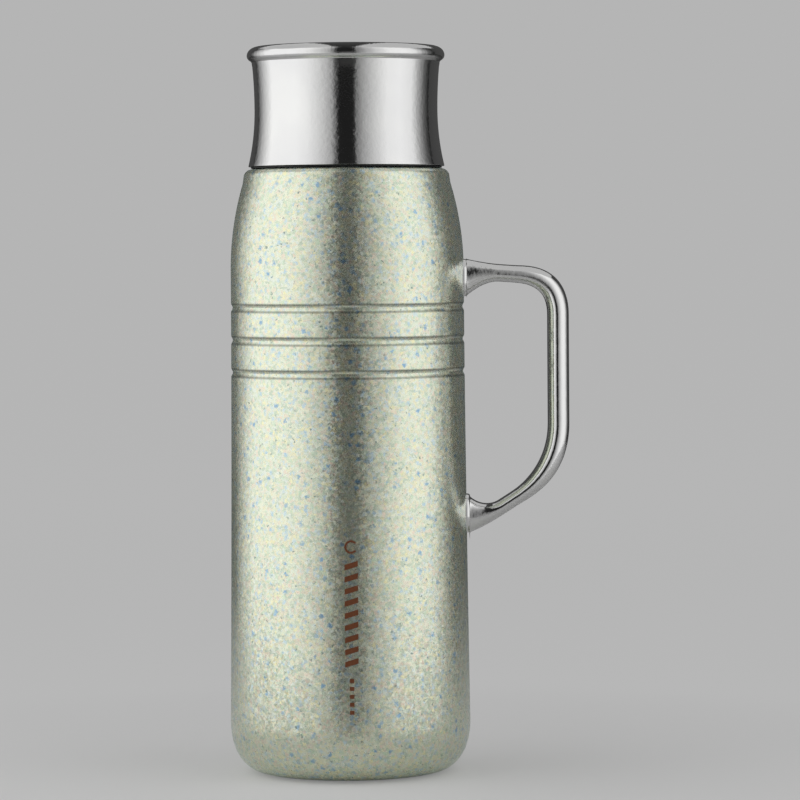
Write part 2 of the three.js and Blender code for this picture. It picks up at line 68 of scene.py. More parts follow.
# ---- driving dimensions, in millimetres ----
SHEET = 0.6  # steel sheet
FOOT_R = 34.5  # where the rounded foot meets the underside
FOOT_Z = low("outer_shell")
CORNER_Z = 22
CORNER_POWER = 2.25
BODY_TOP_R = 48.15
BODY_LOW_R = high("outer_shell", "x")
BODY_SWELL_POWER = 1.6
SHOULDER_Z = 208
SHOULDER_ARC = 124
SHOULDER_TILT = 17.5
SHOULDER_EDGE = 3.5
SHELL_TOP = 249.6
GROOVE_PITCH = 13.35
GROOVE_MIDDLE_Z = 179.3
GROOVE_HALF = 2.0
GROOVE_DEPTH = 0.7
NECK_TOP = high("outer_shell")
NECK_R = 31.3

MOUTH_R = 29.8
MOUTH_TOP = high("liner_neck")
SEAT_Z = 248.6
SEAT_BEAD = 2  # how far the bead under the stopper's seal stands in from the neck, and half its height
LINER_R = high("inner_liner", "x")
LINER_NECK_Z = low("liner_neck")
THREAD_PITCH = 5
GETTER_X = (low("getter_pellet", "x") + high("getter_pellet", "x")) / 2

STOPPER_R = 28.2
STOPPER_NOSE_R = 26.4
CHANNEL_R = 9.2
VALVE_HOLE_R = 6.2
BUTTON_R = high("pour_button", "x")
SPRING_FOOT_Z = 260.3
SPRING_TURNS = 6

LID_Z = low("lid_shell")
LID_TOP = high("lid_shell")
WAIST_R = 37.75
WAIST_Z = 274
WAIST_LOW_ARC = 100
WAIST_HIGH_ARC = 200
WAIST_TOP = 291.5
RIM_R = high("lid_shell", "x")
RIM_Z = 296.3
RIM_CREST_R = 36.2
RIM_CURL = 1.8
RIM_BEAD = 2.3  # radius of the rim's underside

GRIP_X = 87
UPPER_CORNER_Z = 204.5
UPPER_SLOPE = math.radians(4.2)
UPPER_BEND = 15.6
LOWER_CORNER_Z = 124.6
LOWER_SLOPE = math.radians(32.5)
LOWER_BEND = 19.8
GRIP_HALF = 4.5
BAR_HALF_WIDTH = 5.6
FLARE_LENGTH = 14.5
FLARE_POWER = 1.77
FOOT_HALF_WIDTH = 5.8
FOOT_PLATE = 1.5
BAR_END_X = 45
UPPER_FOOT = {"z": 204.2, "half": 8.2, "arm": 3.6, "body_r": 48.2, "node": "upper_handle_foot"}
LOWER_FOOT = {"z": 106.7, "half": 8.3, "arm": 3.1, "body_r": 48.9, "node": "lower_handle_foot"}

MARK_X = 1.3  # middle of the printed stripe, across the front
MARK_LOW = 29
MARK_TOP = 99.5
MARK_HALF_WIDTH = 2.7
MARK_LIFT = 0.12

# The studio, in metres. The lights curve round the object and over it, and come nearest to it beside the
# camera's line of sight.
LIGHT_STRENGTH = 1.18
LIGHT_NEAR = 0.26
LIGHT_FAR = 0.85
DOME = [(1, -0.02), (1, 0.45), (0.9, 0.62), (0.75, 0.7)]  # (share of the reach, height)
FLOOR_R = 2.2


# ---- outlines ----
def arc(r, z, half_width, half_height, from_deg, to_deg, steps):
    """Points on an elliptical arc round (r, z); 0 degrees is along +r and 90 along +z."""
    angles = [math.radians(from_deg + (to_deg - from_deg) * i / steps) for i in range(steps + 1)]
    return [(r + half_width * math.cos(a), z + half_height * math.sin(a)) for a in angles]


def offset(outline, distance):
    """The outline moved sideways, to the left of its direction."""

    def left_of(a, b):
        length = math.hypot(b[0] - a[0], b[1] - a[1])
        return -(b[1] - a[1]) / length, (b[0] - a[0]) / length

    moved = []
    for i, point in enumerate(outline):
        before = left_of(outline[i - 1], point) if i else None
        after = left_of(point, outline[i + 1]) if i < len(outline) - 1 else None
        a, b = before or after, after or before
        reach = distance / (1 + a[0] * b[0] + a[1] * b[1])
        r = 0 if point[0] == 0 else point[0] + reach * (a[0] + b[0])
        moved.append((r, point[1] + reach * (a[1] + b[1])))
    return moved


def sheet_section(outline):
    """The closed section of a steel sheet that lies to the left of the outline."""
    return outline + offset(outline, SHEET)[::-1]


def rounded(section, radius, steps=3, least_turn=30):
    """The closed section with each sharp corner rounded; corners on the axis stay."""
    out = []
    for i, corner in enumerate(section):
        before = Vector(section[i - 1]) - Vector(corner)
        after = Vector(section[(i + 1) % len(section)]) - Vector(corner)
        turn = math.pi - before.angle(after)
        if corner[0] < 1e-6 or turn < math.radians(least_turn):
            out.append(corner)
            continue
        reach = min(radius * math.tan(turn / 2), 0.45 * before.length, 0.45 * after.length)
        start = Vector(corner) + before.normalized() * reach
        end = Vector(corner) + after.normalized() * reach
        for k in range(steps + 1):
            t = k / steps
            point = start * (1 - t) ** 2 + Vector(corner) * 2 * t * (1 - t) + end * t**2
            out.append(tuple(point))
    return out


def ring(inner_r, outer_r, low_z, high_z):
    return [(inner_r, low_z), (outer_r, low_z), (outer_r, high_z), (inner_r, high_z)]


# ---- shapes: each is a list of points and a list of faces ----
def lathe(section, segments=128, centre_x=0, wave=None):
    """The solid of revolution of a closed section. wave(r, z, angle) may move its points."""
    points, rows = [], []
    for r, z in section:
        if r < 1e-6:
            rows.append([len(points)] * segments)
            points.append((centre_x, 0, z))
            continue
        rows.append(list(range(len(points), len(points) + segments)))
        for j in range(segments):
            angle = 2 * math.pi * j / segments
            new_r, new_z = wave(r, z, angle) if wave else (r, z)
            points.append((centre_x + new_r * math.cos(angle), new_r * math.sin(angle), new_z))
    faces = []
    for a, b in zip(rows, rows[1:] + rows[:1]):
        for j in range(segments):
            k = (j + 1) % segments
            face = tuple(dict.fromkeys((a[j], a[k], b[k], b[j])))
            if len(face) > 2:
                faces.append(face)
    return points, faces


def loft(loops):
    """A closed skin through loops that all have the same number of points."""
    count = len(loops[0])
    points = [p for loop in loops for p in loop]
    faces = []
    for i in range(len(loops) - 1):
        for j in range(count):
            k = (j + 1) % count
            faces.append((i * count + j, i * count + k, (i + 1) * count + k, (i + 1) * count + j))
    faces.append(tuple(range(count)))
    faces.append(tuple(range(len(points) - count, len(points))))
    return points, faces


def coil(radius, wire, low_z, pitch, turns, taper=0.0, steps=48):
    """A round wire wound on a helix, in steps for each turn. Its ends thin out over taper of its length."""
    sides = 12
    loops = []
    count = round(steps * turns)
    for i in range(count + 1):
        t = i / count
        angle = 2 * math.pi * turns * t
        ends = min(1, t / taper, (1 - t) / taper) if taper else 1
        size = wire * max(ends, 0.05)
        middle_z = low_z + pitch * turns * t
        loop = []
        for j in range(sides):
            turn = 2 * math.pi * j / sides
            r = radius + size * math.cos(turn)
            loop.append((r * math.cos(angle), r * math.sin(angle), middle_z + size * math.sin(turn)))
        loops.append(loop)
    return loft(loops)


def bar_outline(length, width):
    x, y = length / 2, width / 2
    return [(x, -y), (x, y), (-x, y), (-x, -y)]


def prism(outline, low_z, high_z):
    """An upright block with a chamfered edge on an outline drawn round its own middle."""
    edge = 0.3

    def shrunk(by, z):
        shares = [1 - by / math.hypot(x, y) for x, y in outline]
        return [(x * share, y * share, z) for (x, y), share in zip(outline, shares)]

    levels = [(edge, low_z), (0, low_z + edge), (0, high_z - edge), (edge, high_z)]
    return loft([shrunk(by, z) for by, z in levels])


def spread_round(shape, x, turns):
    """Copies of a shape set out to x from the axis and turned about it by each of the given angles."""
    points, faces = shape
    copies = []
    for turn in turns:
        c, s = math.cos(turn), math.sin(turn)
        copies.append(([((px + x) * c - py * s, (px + x) * s + py * c, pz) for px, py, pz in points], faces))
    return copies


def make_piece(name, *shapes, sharp_deg=35):
    """One mesh object of one or more shapes, in metres, smooth but for its sharp edges."""
    points, faces = [], []
    for shape_points, shape_faces in shapes:
        faces += [tuple(len(points) + i for i in face) for face in shape_faces]
        points += shape_points
    mesh = bpy.data.meshes.new(name)
    mesh.from_pydata([Vector(p) * MM for p in points], [], faces)
    work = bmesh.new()
    work.from_mesh(mesh)
    bmesh.ops.recalc_face_normals(work, faces=work.faces)
    work.to_mesh(mesh)
    work.free()
    mesh.shade_smooth()
    mesh.set_sharp_from_angle(angle=math.radians(sharp_deg))
    obj = bpy.data.objects.new(name, mesh)
    bpy.context.scene.collection.objects.link(obj)
    return obj


# ---- materials ----
class Nodes:
    """A short way to write a node material."""

    def __init__(self, name):
        self.material = bpy.data.materials.new(name)
        self.material.use_nodes = True
        self.tree = self.material.node_tree
        self.tree.nodes.clear()
        coords = self.add("ShaderNodeTexCoord")
        self.place = self.vector("MULTIPLY", coords.outputs["Object"], (1000, 1000, 1000))

    def add(self, kind, inputs=None, **settings):
        node = self.tree.nodes.new(kind)
        for key, value in settings.items():
            setattr(node, key, value)
        for key, value in (inputs or {}).items():
            self.set(node.inputs[key], value)
        return node

    def set(self, socket, value):
        if isinstance(value, bpy.types.NodeSocket):
            self.tree.links.new(value, socket)
        else:
            socket.default_value = value

    def vector(self, operation, a, b):
        return self.add("ShaderNodeVectorMath", {0: a, 1: b}, operation=operation).outputs[0]

    def math(self, operation, a, b=0.0):
        return self.add("ShaderNodeMath", {0: a, 1: b}, operation=operation).outputs[0]

    def noise(self, scale, detail=2.0, place=None):
        inputs = {"Vector": place or self.place, "Scale": scale, "Detail": detail}
        return self.add("ShaderNodeTexNoise", inputs).outputs["Fac"]

    def voronoi(self, scale, place=None, output="Distance"):
        inputs = {"Vector": place or self.place, "Scale": scale}
        return self.add("ShaderNodeTexVoronoi", inputs).outputs[output]

    def ramp(self, value, stops, interpolation="LINEAR"):
        node = self.add("ShaderNodeValToRGB", {"Fac": value})
        node.color_ramp.interpolation = interpolation
        elements = node.color_ramp.elements
        while len(elements) < len(stops):
            elements.new(0.5)
        for element, (position, colour) in zip(elements, stops):
            element.position = position
            element.color = colour if len(colour) == 4 else (*colour, 1)
        return node.outputs["Color"]

    def grey(self, value, stops):
        """A ramp of grey levels, also used for plain numbers."""
        return self.ramp(value, [(position, (level, level, level)) for position, level in stops])

    def mix(self, factor, a, b, blend="MIX"):
        node = self.add("ShaderNodeMix", data_type="RGBA", blend_type=blend)
        self.set(node.inputs["Factor"], factor)
        self.set(node.inputs["A"], a)
        self.set(node.inputs["B"], b)
        return node.outputs["Result"]

    def bump(self, height, strength, distance_mm):
        inputs = {"Height": height, "Strength": strength, "Distance": distance_mm * MM}
        return self.add("ShaderNodeBump", inputs).outputs["Normal"]

    def finish(self, **inputs):
        """The finished material. An underscore in an input's name stands for a space."""
        shader = self.add("ShaderNodeBsdfPrincipled")
        for key, value in inputs.items():
            self.set(shader.inputs[key.replace("_", " ")], value)
        out = self.add("ShaderNodeOutputMaterial")
        self.tree.links.new(shader.outputs["BSDF"], out.inputs["Surface"])
        return self.material


def srgb(r, g, b):
    """An 8-bit sRGB colour as linear RGBA."""
    linear = [((c / 255 + 0.055) / 1.055) ** 2.4 if c > 10 else c / 255 / 12.92 for c in (r, g, b)]
    return (*linear, 1)


def speckled_coat():
    n = Nodes("speckled_coat")
    wobble = n.add("ShaderNodeTexNoise", {"Vector": n.place, "Scale": 1.1, "Detail": 2.0})
    shift = n.vector("SUBTRACT", wobble.outputs["Color"], (0.5, 0.5, 0.5))
    place = n.vector("ADD", n.place, n.vector("MULTIPLY", shift, (2.4, 2.4, 2.4)))

    def flakes(scale, tints, share, near, far, colour):
        """Irregular flakes of the given tints over part of the colour below."""
        pick = n.add("ShaderNodeSeparateColor", {"Color": n.voronoi(scale, place, "Color")})
        tint = n.ramp(pick.outputs[0], [(i / len(tints), t) for i, t in enumerate(tints)], "CONSTANT")
        mask = n.grey(n.voronoi(scale, place, "Distance"), [(near, 1.0), (far, 0.0)])
        seldom = n.math("LESS_THAN", pick.outputs[1], share)
        return n.mix(n.math("MULTIPLY", mask, seldom), colour, tint)

    cream = [
        srgb(224, 232, 211),
        srgb(232, 235, 211),
        srgb(214, 225, 201),
        srgb(230, 228, 197),
        srgb(224, 232, 219),
        srgb(200, 213, 193),
        srgb(228, 222, 203),
    ]
    colour = flakes(0.9, cream, 1.1, 0.9, 1.0, cream[0])
    warm = [srgb(240, 236, 190), srgb(204, 224, 196), srgb(236, 220, 200)]
    colour = flakes(0.6, warm, 0.4, 0.2, 0.65, colour)
    pale_blue = [srgb(200, 220, 226), srgb(184, 210, 222), srgb(208, 224, 224)]
    colour = flakes(0.5, pale_blue, 0.3, 0.2, 0.6, colour)
    blue = [srgb(160, 192, 212), srgb(144, 180, 206), srgb(170, 196, 208)]
    colour = flakes(0.33, blue, 0.13, 0.2, 0.42, colour)
    colour = flakes(0.85, [srgb(176, 190, 178), srgb(142, 158, 150)], 0.08, 0.2, 0.5, colour)

    # Painted shade: the coat's colour is darkened on both sides of each rolled groove, where the groove's
    # walls lie in shade.
    height = n.add("ShaderNodeSeparateXYZ", {"Vector": n.place}).outputs["Z"]
    from_middle = n.math("SUBTRACT", height, GROOVE_MIDDLE_Z)
    turns = n.math("ADD", n.math("DIVIDE", from_middle, GROOVE_PITCH), 0.5)
    beside = n.math("ABSOLUTE", n.math("SUBTRACT", n.math("FRACT", turns), 0.5))
    beside = n.math("MULTIPLY", beside, GROOVE_PITCH / 4)
    shade = n.grey(beside, [(0.2, 1.0), (0.32, 0.5), (0.42, 0.5), (0.55, 1.0)])
    near_grooves = n.math("LESS_THAN", n.math("ABSOLUTE", from_middle), 1.5 * GROOVE_PITCH)
    colour = n.mix(near_grooves, colour, n.mix(1.0, colour, shade, "MULTIPLY"))

    # Each flake leans its own way, which makes the coat glint.
    tilt = n.vector("SUBTRACT", n.voronoi(0.95, place, "Color"), (0.5, 0.5, 0.5))
    tilt = n.vector("MULTIPLY", tilt, (0.1, 0.1, 0.1))
    leaning = n.vector("ADD", n.bump(n.noise(1.1, 2.0), 0.3, 0.05), tilt)
    normal = n.add("ShaderNodeVectorMath", {0: leaning}, operation="NORMALIZE").outputs[0]
    return n.finish(
        Base_Color=colour,
        Metallic=0.82,
        Roughness=n.grey(n.noise(1.2, 2.0), [(0.3, 0.2), (0.7, 0.3)]),
        Coat_Weight=0.5,
        Coat_Roughness=0.06,
        Sheen_Weight=0.3,
        Sheen_Roughness=0.3,
        Sheen_Tint=srgb(190, 220, 214),
        Normal=normal,
    )


def polished_steel():
    n = Nodes("polished_steel")
    tint = n.ramp(n.noise(0.05, 2.0), [(0.3, (0.70, 0.70, 0.70)), (0.7, (0.75, 0.75, 0.74))])
    roughness = n.grey(n.noise(2.5, 4.0), [(0.35, 0.07), (0.7, 0.13)])
    ripple = n.noise(0.5, 3.0)
    return n.finish(
        Base_Color=tint,
        Metallic=1.0,
        Roughness=roughness,
        Normal=n.bump(ripple, 0.6, 0.09),
    )


def satin_steel():
    n = Nodes("satin_steel")
    stretched = n.vector("MULTIPLY", n.place, (0.6, 0.6, 9))
    grain = n.noise(1.0, 4.0, stretched)
    tint = n.grey(n.noise(0.08, 2.0), [(0.3, 0.62), (0.7, 0.72)])
    return n.finish(
        Base_Color=tint,
        Metallic=1.0,
        Roughness=n.grey(grain, [(0.3, 0.24), (0.7, 0.38)]),
        Normal=n.bump(grain, 0.25, 0.03),
    )


def copper():
    n = Nodes("copper")
    tint = n.ramp(n.noise(0.1, 3.0), [(0.3, srgb(196, 120, 82)), (0.7, srgb(214, 146, 104))])
    return n.finish(
        Base_Color=tint, Metallic=1.0, Roughness=0.28, Normal=n.bump(n.noise(0.12, 5.0), 0.6, 0.4)
    )


def getter():
    n = Nodes("getter")
    grains = n.voronoi(3.0)
    tint = n.grey(grains, [(0.0, 0.16), (0.8, 0.08)])
    return n.finish(Base_Color=tint, Metallic=0.6, Roughness=0.7, Normal=n.bump(grains, 0.6, 0.1))


def seal_glass():
    n = Nodes("seal_glass")
    tint = n.ramp(n.noise(0.6, 2.0), [(0.3, srgb(50, 56, 62)), (0.7, srgb(66, 72, 78))])
    return n.finish(Base_Color=tint, Roughness=0.12, Normal=n.bump(n.noise(0.9), 0.2, 0.05))


def plastic(name, dark, pale):
    n = Nodes(name)
    tint = n.ramp(n.noise(0.15, 3.0), [(0.3, dark), (0.7, pale)])
    grain = n.noise(7.0, 3.0)
    roughness = n.grey(n.noise(1.5, 3.0), [(0.3, 0.38), (0.7, 0.5)])
    return n.finish(Base_Color=tint, Roughness=roughness, Normal=n.bump(grain, 0.3, 0.04))


def rubber(name, dark, pale, sheen):
    n = Nodes(name)
    tint = n.ramp(n.noise(0.3, 3.0), [(0.3, dark), (0.7, pale)])
    roughness = n.grey(n.noise(2.0, 3.0), [(0.3, 0.5), (0.7, 0.68)])
    return n.finish(
        Base_Color=tint, Roughness=roughness, Sheen_Weight=sheen, Normal=n.bump(n.noise(5.0), 0.25, 0.03)
    )


def foam():
    n = Nodes("foam")
    cells = n.voronoi(1.6)
    tint = n.ramp(cells, [(0.0, srgb(205, 198, 180)), (0.6, srgb(236, 231, 218))])
    return n.finish(Base_Color=tint, Roughness=0.9, Normal=n.bump(cells, 0.8, 0.3))


def print_ink():
    n = Nodes("print_ink")
    tint = n.ramp(n.noise(1.5, 3.0), [(0.3, srgb(104, 56, 26)), (0.7, srgb(122, 68, 34))])
    return n.finish(Base_Color=tint, Roughness=0.45, Normal=n.bump(n.noise(6.0), 0.2, 0.02))


MATERIALS = {
    "speckled_coat": speckled_coat(),
    "polished_steel": polished_steel(),
    "satin_steel": satin_steel(),
    "copper": copper(),
    "getter": getter(),
    "seal_glass": seal_glass(),
    "black_plastic": plastic("black_plastic", srgb(24, 25, 27), srgb(34, 35, 38)),
    "grey_plastic": plastic("grey_plastic", srgb(58, 61, 64), srgb(72, 76, 80)),
    "foam": foam(),
    "silicone": rubber("silicone", srgb(196, 200, 198), srgb(214, 217, 215), 0.2),
    "dark_silicone": rubber("dark_silicone", srgb(34, 36, 38), srgb(46, 48, 50), 0.3),
    "print_ink": print_ink(),
}
SLOTS = {part["node"]: part["material_slot"] for part in frame["record"]["subparts"]}
BODY_OF = {node: body for body, nodes in frame["record"]["behaviour"]["bodies"].items() for node in nodes}


def stand_for(node, piece):
    """The piece takes a CAD node's place, body and finish."""
    piece.data.materials.append(MATERIALS[SLOTS[node]])
    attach(piece, BODY_OF[node])
    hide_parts(node)


# ---- outer wall ----
def body_radius(z):
    """The outer wall's radius below the shoulder; it swells towards the foot."""
    below = (SHOULDER_Z - z) / (SHOULDER_Z - CORNER_Z)
    return BODY_TOP_R + (BODY_LOW_R - BODY_TOP_R) * max(below, 0) ** BODY_SWELL_POWER


def rounded_foot(steps):
    """A corner squarer than an ellipse, from the underside up to the side."""
    points = []
    for i in range(steps + 1):
        angle = math.pi / 2 * (1 - i / steps)
        across = max(math.cos(angle), 0) ** (2 / CORNER_POWER)
        up = max(math.sin(angle), 0) ** (2 / CORNER_POWER)
        points.append((FOOT_R + (BODY_LOW_R - FOOT_R) * across, CORNER_Z - (CORNER_Z - FOOT_Z) * up))
    return points


def groove(z):
    """A smooth rolled groove round the body."""
    steps = 12
    points = []
    for i in range(steps + 1):
        t = 2 * i / steps - 1
        depth = GROOVE_DEPTH * (0.5 + 0.5 * math.cos(math.pi * t))
        points.append((body_radius(z + t * GROOVE_HALF) - depth, z + t * GROOVE_HALF))
    return points


def outer_wall():
    shoulder = arc(BODY_TOP_R - SHOULDER_ARC, SHOULDER_Z, SHOULDER_ARC, SHOULDER_ARC, 0, SHOULDER_TILT, 24)
    edge_r = shoulder[-1][0] - SHOULDER_EDGE * math.cos(math.radians(SHOULDER_TILT))
    edge = arc(edge_r, SHELL_TOP - SHOULDER_EDGE, SHOULDER_EDGE, SHOULDER_EDGE, SHOULDER_TILT, 90, 8)
    plain = [(body_radius(z), z) for z in range(28, 160, 6)]
    grooves = [p for i in (-1, 0, 1) for p in groove(GROOVE_MIDDLE_Z + i * GROOVE_PITCH)]
    outline = rounded_foot(24) + plain + grooves + [(body_radius(200), 200)] + shoulder[:-1] + edge
    outline += [(NECK_R + 0.6, SHELL_TOP), (NECK_R, SHELL_TOP + 0.6), (NECK_R, NECK_TOP)]
    stand_for("outer_shell", make_piece("outer_shell_coat", lathe(sheet_section(outline), 192)))


def underside():
    bottom_r = high("shell_bottom", "x")
    bottom = [(1.2, 5.6), (bottom_r - 1.6, 5.6), (bottom_r - SHEET, 4.8), (bottom_r - SHEET, 1.2)]
    stand_for("shell_bottom", make_piece("bottom_steel", lathe(rounded(sheet_section(bottom), 0.3))))
    bead = arc(0, high("vacuum_seal_bead"), 3.2, 1.3, -90, 0, 10) + [(0, high("vacuum_seal_bead"))]
    stand_for("vacuum_seal_bead", make_piece("seal_bead_glass", lathe(bead, 48)))
    cap_r = high("base_cap", "x")
    cap = [(0, 1.5), (cap_r - 1.2, 1.5), (cap_r, 2.3), (cap_r, 4.4)]
    stand_for("base_cap", make_piece("base_cap_steel", lathe(rounded(sheet_section(cap), 0.5))))
    pad_r = high("foot_pad", "x")
    pad = [(0, 0)]
    for r in (14, 20, 26):
        pad += [(r - 1, 0), (r - 0.6, 0.35), (r + 0.6, 0.35), (r + 1, 0)]
    pad += [(pad_r, 0), (pad_r, 1.2), (0, 1.2)]
    stand_for("foot_pad", make_piece("foot_pad_rubber", lathe(rounded(pad, 0.3))))


# ---- inner wall and what is in the vacuum ----
def liner():
    seat = [(MOUTH_R, MOUTH_TOP), (MOUTH_R, SEAT_Z + SEAT_BEAD + 0.2)]
    for i in range(-8, 9):
        angle = math.pi * i / 16
        seat.append((MOUTH_R - SEAT_BEAD * math.cos(angle) ** 2, SEAT_Z - SEAT_BEAD * math.sin(angle)))
    neck = seat + arc(MOUTH_R + 2.7, LINER_NECK_Z, LINER_R - SHEET - MOUTH_R - 2.7, 26, 78, 0, 20)
    outside = offset(neck, SHEET)[::-1][:-1]
    lip = [(MOUTH_R + SHEET, MOUTH_TOP - SHEET), (NECK_R, MOUTH_TOP - SHEET), (NECK_R, MOUTH_TOP)]
    thread = coil(MOUTH_R - 0.05, 0.55, 255.5, THREAD_PITCH, 1.2, taper=0.12)
    piece = make_piece("liner_neck_steel", lathe(rounded(neck + outside + lip, 0.25)), thread)
    stand_for("liner_neck", piece)
    wall = ring(LINER_R - SHEET, LINER_R, low("inner_liner"), high("inner_liner"))
    stand_for("inner_liner", make_piece("liner_wall_steel", lathe(wall)))
    corner = 16
    bottom = [(0, low("liner_bottom") + 0.8)]
    bottom += arc(LINER_R - corner, low("liner_bottom") + corner, corner, corner, -90, 0, 20)
    bottom += [(LINER_R, high("liner_bottom"))]
    stand_for("liner_bottom", make_piece("liner_bottom_steel", lathe(sheet_section(bottom))))
    foil_r = high("copper_foil", "x")
    foil = ring(foil_r - 0.1, foil_r, low("copper_foil"), high("copper_foil"))
    stand_for("copper_foil", make_piece("foil_copper", lathe(foil)))
    clip = [(0, 10.7), (6.6, 10.7), (6.6, 8), (7, 8), (7, 11.1), (0, 11.1)]
    stand_for("getter_clip", make_piece("getter_clip_steel", lathe(rounded(clip, 0.3), 48, GETTER_X)))
    pellet = [(0, low("getter_pellet")), (6.2, low("getter_pellet")), (6.2, high("getter_pellet"))]
    pellet += [(0, high("getter_pellet"))]
    stand_for("getter_pellet", make_piece("getter_pellet_metal", lathe(rounded(pellet, 0.4), 48, GETTER_X)))


def collar():
    inner, outer = NECK_R + 0.3, NECK_R + 1.7
    flange = high("neck_collar", "x")
    low_z, top_z = low("neck_collar"), high("neck_collar")
    section = [(inner, low_z), (flange, low_z), (flange, low_z + 0.6)]
    section += [(outer, low_z + 0.6), (outer, top_z), (inner, top_z)]
    thread = coil(outer + 0.1, 0.9, 255, THREAD_PITCH, 1.4, taper=0.1)
    piece = make_piece("neck_collar_plastic", lathe(rounded(section, 0.25)), thread)
    stand_for("neck_collar", piece)


# ---- lid ----
def lid():
    low_arc, high_arc = WAIST_LOW_ARC, WAIST_HIGH_ARC
    low_deg = math.degrees(math.asin((WAIST_Z - LID_Z) / low_arc))
    high_deg = math.degrees(math.asin((WAIST_TOP - WAIST_Z) / high_arc))
    outline = arc(WAIST_R + low_arc, WAIST_Z, low_arc, low_arc, 180 + low_deg, 180, 16)
    outline += arc(WAIST_R + high_arc, WAIST_Z, high_arc, high_arc, 180, 180 - high_deg, 8)[1:]
    outline += [(38.72, 292.6), (38.8, 293.5)]
    outline += arc(RIM_R - RIM_BEAD, RIM_Z, RIM_BEAD, RIM_BEAD, -68, 0, 8)
    outline += arc(RIM_CREST_R, RIM_Z, RIM_R - RIM_CREST_R, LID_TOP - RIM_Z, 0, 90, 14)[1:]
    outline += arc(RIM_CREST_R, LID_TOP - RIM_CURL, RIM_CURL, RIM_CURL, 90, 180, 8)[1:]
    outline += [(RIM_CREST_R - RIM_CURL, 297)]
    section = rounded(sheet_section(outline), 0.25, 3, 60)
    stand_for("lid_shell", make_piece("lid_steel", lathe(section, 192), sharp_deg=28))

    plate_r = high("lid_top_plate", "x")
    crown = high("lid_top_plate") - SHEET
    edge_z = low("lid_top_plate")
    plate = [(plate_r * t, crown + (edge_z - crown) * t**2) for t in (0, 0.25, 0.5, 0.75, 0.9, 1)]
    piece = make_piece("lid_top_steel", lathe(rounded(sheet_section(plate), 0.2), 192))
    stand_for("lid_top_plate", piece)

    foam_r = high("lid_insulation", "x")
    foam = [(0, low("lid_insulation")), (foam_r, low("lid_insulation")), (foam_r, high("lid_insulation") - 1)]
    foam += [(0, high("lid_insulation"))]
    stand_for("lid_insulation", make_piece("lid_foam", lathe(foam)))

    inner, outer, ceiling = 35, 36.6, 290.4
    cup = [(0, ceiling), (inner, ceiling), (inner, LID_Z), (39, LID_Z), (38.6, LID_Z + 1.5)]
    cup += [(outer, LID_Z + 2), (outer, ceiling + 1.9), (0, ceiling + 1.9)]
    thread = coil(inner + 0.4, 0.9, 256.5, THREAD_PITCH, 1.4, taper=0.1)
    piece = make_piece("lid_liner_plastic", lathe(rounded(cup, 0.6)), thread)
    stand_for("lid_liner", piece)


# ---- stopper ----
def stopper():
    floor, mouth = low("stopper_body"), MOUTH_TOP + 0.3
    flange, flange_top = 31.2, 270.8
    inner, nose = STOPPER_R - 1.5, STOPPER_NOSE_R - 1.5
    step, channel_top = 252.8, 268.5
    section = [(VALVE_HOLE_R, floor), (STOPPER_NOSE_R, floor), (STOPPER_NOSE_R, step), (STOPPER_R, step)]
    section += [(STOPPER_R, mouth), (flange, mouth), (flange, flange_top), (inner, flange_top)]
    section += [(inner, step + 1.6), (nose, step), (nose, 239.8), (CHANNEL_R + 1.4, 239.8)]
    section += [(CHANNEL_R + 1.4, channel_top), (CHANNEL_R, channel_top)]
    section += [(CHANNEL_R, 239.6), (VALVE_HOLE_R, 239.6)]
    # A hub on three spokes guides the stem and carries the spring.
    hub_low, hub_top = SPRING_FOOT_Z - 3.3, SPRING_FOOT_Z - 0.3
    hub = lathe(rounded(ring(2.3, 4.2, hub_low, hub_top), 0.3), 48)
    turns = [(i + 0.5) * 2 * math.pi / 3 for i in range(3)]
    spokes = spread_round(prism(bar_outline(6.2, 1.6), hub_low, hub_top), 6.6, turns)
    thread = coil(STOPPER_R, 0.6, 257.5, THREAD_PITCH, 1.2, taper=0.12)
    piece = make_piece("stopper_plastic", lathe(rounded(section, 0.4)), hub, thread, *spokes)
    stand_for("stopper_body", piece)

    foam = [(CHANNEL_R + 1.7, 240.1), (nose - 0.3, 240.1), (nose - 0.3, step + 0.1)]
    foam += [(inner - 0.3, step + 1.9), (inner - 0.3, channel_top), (CHANNEL_R + 1.7, channel_top)]
    stand_for("stopper_insulation", make_piece("stopper_foam", lathe(foam)))
    deck = ring(CHANNEL_R + 0.2, inner - 0.3, low("stopper_deck"), high("stopper_deck"))
    stand_for("stopper_deck", make_piece("stopper_deck_plastic", lathe(rounded(deck, 0.3))))
    seal = ring(STOPPER_NOSE_R + 0.3, STOPPER_R + 0.5, low("stopper_main_seal"), high("stopper_main_seal"))
    stand_for("stopper_main_seal", make_piece("stopper_seal_rubber", lathe(rounded(seal, 0.6, 5))))
    stopper_cover()

    wire, top = 0.45, 277.9
    pitch = (top - SPRING_FOOT_Z - 2 * wire) / SPRING_TURNS
    spring = make_piece("spring_wire", coil(5.4, wire, SPRING_FOOT_Z + wire, pitch, SPRING_TURNS, steps=32))
    stand_for("button_spring", spring)
    length = high("button_spring") - low("button_spring")
    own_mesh(spring)


